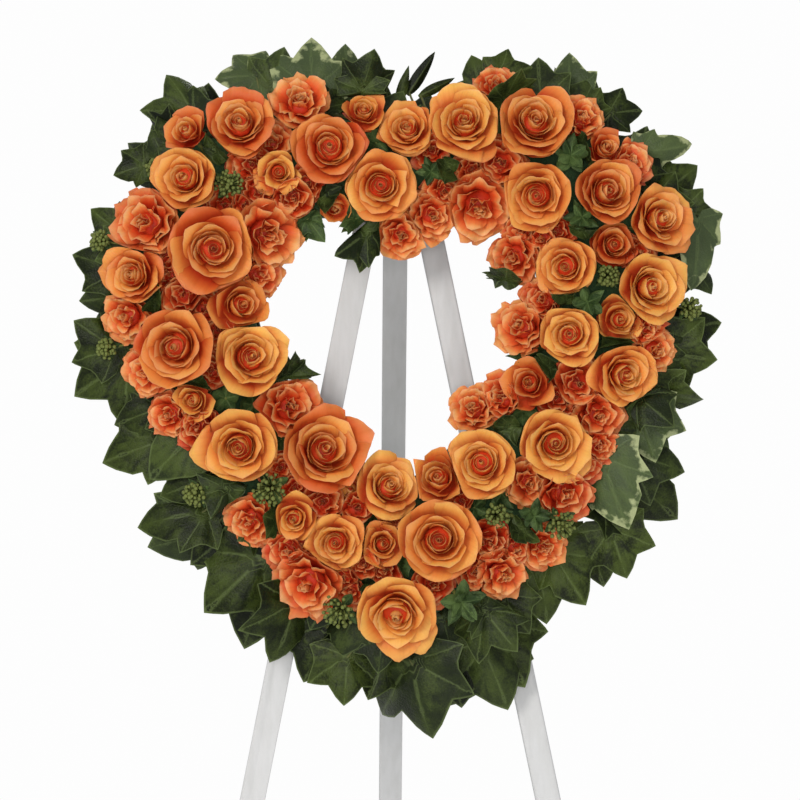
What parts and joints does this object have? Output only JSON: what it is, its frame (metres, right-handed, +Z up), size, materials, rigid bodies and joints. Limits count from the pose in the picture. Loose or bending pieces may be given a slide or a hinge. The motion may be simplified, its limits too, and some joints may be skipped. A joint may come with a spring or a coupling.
{
  "type": "standing heart wreath",
  "caption": "Open heart of roses, carnations, ivy and green sprigs in floral foam, resting on the pegs of a leaning tripod easel with a folding rear leg",
  "frame": {"origin": "on the floor, under the middle of the overall box of the wreath and its open easel", "axes": "+Z up, the flowers face -Y, +X to the right seen from the front"},
  "size_m": [0.6276, 0.7412, 1.501],
  "materials": {
    "white_paint": "white painted wood, satin",
    "steel": "plain zinc-plated steel",
    "tray_plastic": "dark green moulded plastic",
    "foam": "wet green floral foam, matt and crumbly",
    "rose_petals": "soft orange petals, velvety",
    "carnation_petals": "ruffled deep orange petals",
    "ivy_leaf": "dark green waxy leaf",
    "sprig_leaf": "mid green leaves and yellow-green berries"
  },
  "bodies": {
    "stand": {"berries_bottom_left": "sprig_leaf", "berries_left_lobe": "sprig_leaf", "berries_lower_left": "sprig_leaf", "carnation_bottom_left": "carnation_petals", "carnation_left_gap": "carnation_petals", "carnation_left_inner": "carnation_petals", "carnation_low_right": "carnation_petals", "carnation_right": "carnation_petals", "carnation_right_inner": "carnation_petals", "carnations_bottom_right": "carnation_petals", "carnations_cleft": "carnation_petals", "carnations_left_lobe": "carnation_petals", "foam_heart": "foam", "foam_tray": "tray_plastic", "front_leg_left": "white_paint", "front_leg_right": "white_paint", "ivy_bottom_left": "ivy_leaf", "ivy_bottom_right": "ivy_leaf", "ivy_left": "ivy_leaf", "ivy_left_flank": "ivy_leaf", "ivy_left_shoulder": "ivy_leaf", "ivy_lower_left": "ivy_leaf", "ivy_lower_right": "ivy_leaf", "ivy_right": "ivy_leaf", "ivy_right_flank": "ivy_leaf", "ivy_right_shoulder": "ivy_leaf", "ivy_top_left": "ivy_leaf", "ivy_top_right": "ivy_leaf", "peg_left": "white_paint", "peg_right": "white_paint", "pivot_bolt": "steel", "rose_left_lobe": "rose_petals", "roses_bottom": "rose_petals", "roses_bottom_left": "rose_petals", "roses_cleft_left": "rose_petals", "roses_left": "rose_petals", "roses_left_edge": "rose_petals", "roses_left_low": "rose_petals", "roses_left_shoulder": "rose_petals", "roses_left_upper": "rose_petals", "roses_low_middle": "rose_petals", "roses_lower_left": "rose_petals", "roses_lower_right": "rose_petals", "roses_right_crown": "rose_petals", "roses_right_edge": "rose_petals", "roses_right_gap": "rose_petals", "roses_right_inner": "rose_petals", "roses_right_lobe": "rose_petals", "roses_right_low": "rose_petals", "roses_top_middle": "rose_petals", "roses_top_right": "rose_petals", "sprig_bottom": "sprig_leaf", "sprig_cleft": "sprig_leaf", "sprig_lower_right": "sprig_leaf", "sprig_right_lobe": "sprig_leaf", "sprig_right_middle": "sprig_leaf", "sprig_right_upper": "sprig_leaf", "top_block": "white_paint", "wing_nut": "steel"},
    "rear_leg": {"rear_leg": "white_paint"}
  },
  "joints": [
    {"name": "rear_leg_fold", "type": "hinge", "parent": "stand", "child": "rear_leg", "pos_m": [0, -0.08425, 1.3806], "axis": [1, 0, 0], "range_deg": [-28, 0]}
  ]
}
